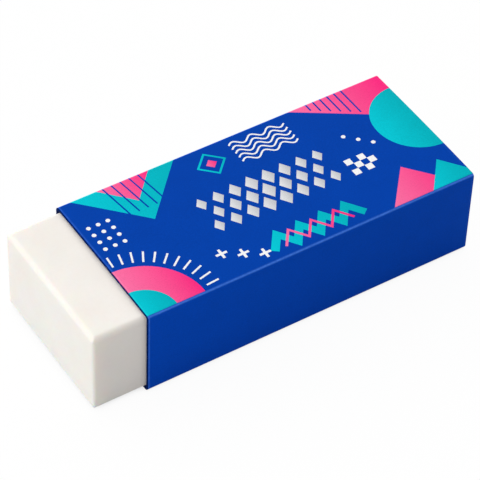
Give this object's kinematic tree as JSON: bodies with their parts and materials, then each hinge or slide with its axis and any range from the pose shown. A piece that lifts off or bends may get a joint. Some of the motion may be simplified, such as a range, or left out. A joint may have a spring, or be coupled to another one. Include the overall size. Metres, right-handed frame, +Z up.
{
  "type": "rubber eraser",
  "caption": "White block eraser with softly rounded edges, gripped by an open-ended folded card sleeve that slides along it and has a geometric print on its top.",
  "frame": {"origin": "on the table plane, under the centre of the whole eraser's bounding box", "axes": "+X along the eraser, away from its bare nose; +Y across it, away from the long side that the picture shows; +Z up, out of the sleeve's printed panel"},
  "size_m": [0.0562, 0.0222, 0.0135],
  "materials": {
    "vinyl": "smooth matte vinyl, cream white",
    "printed_card": "blue printed card under a satin varnish, plain white card inside"
  },
  "bodies": {
    "sleeve": {"card_sleeve": "printed_card"},
    "block": {"eraser_block": "vinyl"}
  },
  "joints": [
    {"name": "block_slide", "type": "slide", "parent": "sleeve", "child": "block", "axis": [-1, 0, 0], "range_m": [-0.0562, 0.0484]}
  ]
}
